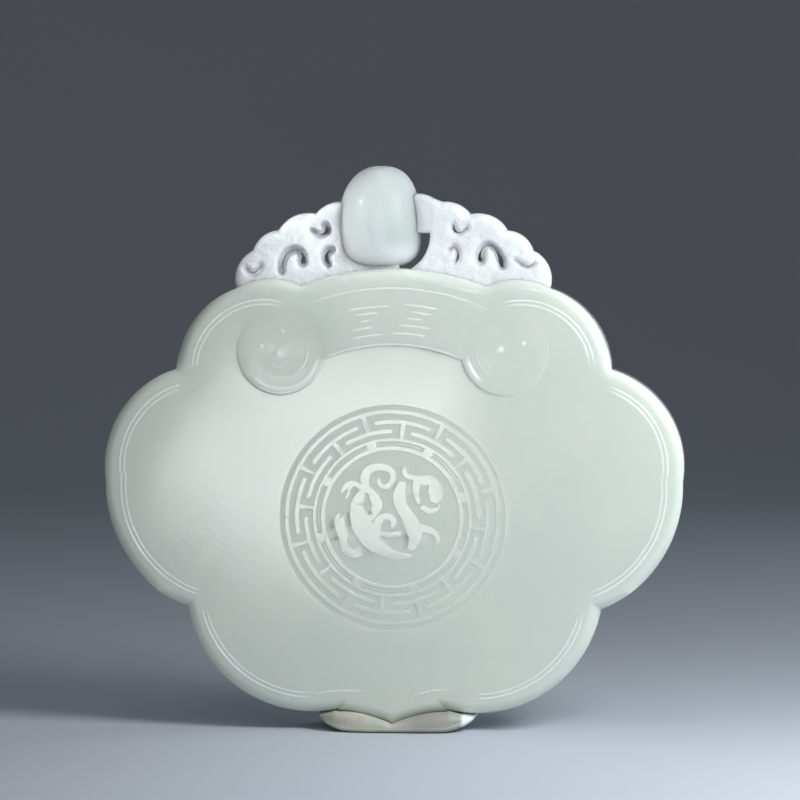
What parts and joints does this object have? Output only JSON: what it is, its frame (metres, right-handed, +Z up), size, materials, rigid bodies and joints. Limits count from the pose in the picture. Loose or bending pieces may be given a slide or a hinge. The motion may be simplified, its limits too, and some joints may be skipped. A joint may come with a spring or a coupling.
{
  "type": "jade pendant on a display pad",
  "caption": "Scalloped white jade plaque with a pierced crown, an egg-shaped bead and raised scroll, fret and dragon carving, held upright by a low display pad.",
  "frame": {"origin": "on the floor under the centre of the bounding box, in the plane halfway through the plaque", "axes": "+Z up, +X across the pendant to the viewer's right, the carved front faces -Y"},
  "size_m": [0.056, 0.01, 0.0546],
  "materials": {
    "carved_stone": "polished, matte in the sunk ground and the crown",
    "bead_stone": "polished",
    "pin": "plain",
    "pad": "smooth satin"
  },
  "bodies": {
    "root": {"plaque": "carved_stone", "bead": "bead_stone", "pin": "pin", "pad": "pad"}
  },
  "joints": []
}
